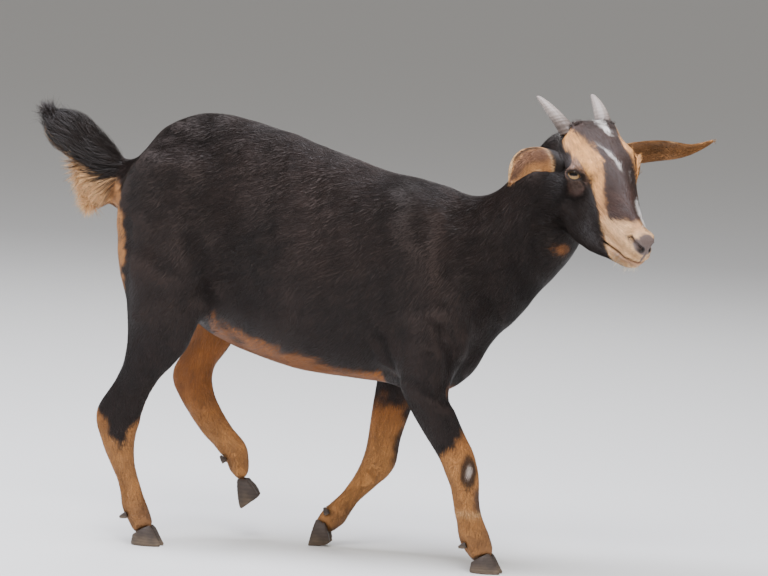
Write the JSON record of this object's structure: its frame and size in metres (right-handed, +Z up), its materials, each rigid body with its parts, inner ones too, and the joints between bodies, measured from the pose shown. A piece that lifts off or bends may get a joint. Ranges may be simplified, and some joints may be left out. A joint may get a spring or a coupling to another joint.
{
  "type": "goat",
  "caption": "Still life-size model of a young short-haired goat walking, head turned to its right, with small horns and level ears.",
  "frame": {"origin": "centre of the goat's bounding box, on the floor it stands on", "axes": "+X the way the trunk faces, +Y the goat's left, +Z up"},
  "size_m": [0.839, 0.2412, 0.5911],
  "materials": {
    "coat": "short blackish brown hair with tan face stripes, belly and lower legs",
    "ear": "fine short brown hair, paler inside",
    "horn": "grey keratin with faint growth rings",
    "eye": "wet amber eye with a level slot pupil",
    "hoof": "worn dark hoof horn"
  },
  "bodies": {
    "root": {"trunk": "coat", "neck": "coat", "head": "coat", "tail": "coat", "foreleg_right": "coat", "foreleg_left": "coat", "hindleg_right": "coat", "hindleg_left": "coat", "ear_right": "ear", "ear_left": "ear", "horn_right": "horn", "horn_left": "horn", "eye_right": "eye", "eye_left": "eye", "claw_fore_right_outer": "hoof", "dewclaw_fore_right_outer": "hoof", "claw_fore_right_inner": "hoof", "dewclaw_fore_right_inner": "hoof", "claw_fore_left_outer": "hoof", "dewclaw_fore_left_outer": "hoof", "claw_fore_left_inner": "hoof", "dewclaw_fore_left_inner": "hoof", "claw_hind_right_outer": "hoof", "dewclaw_hind_right_outer": "hoof", "claw_hind_right_inner": "hoof", "dewclaw_hind_right_inner": "hoof", "claw_hind_left_outer": "hoof", "dewclaw_hind_left_outer": "hoof", "claw_hind_left_inner": "hoof", "dewclaw_hind_left_inner": "hoof"}
  },
  "joints": []
}
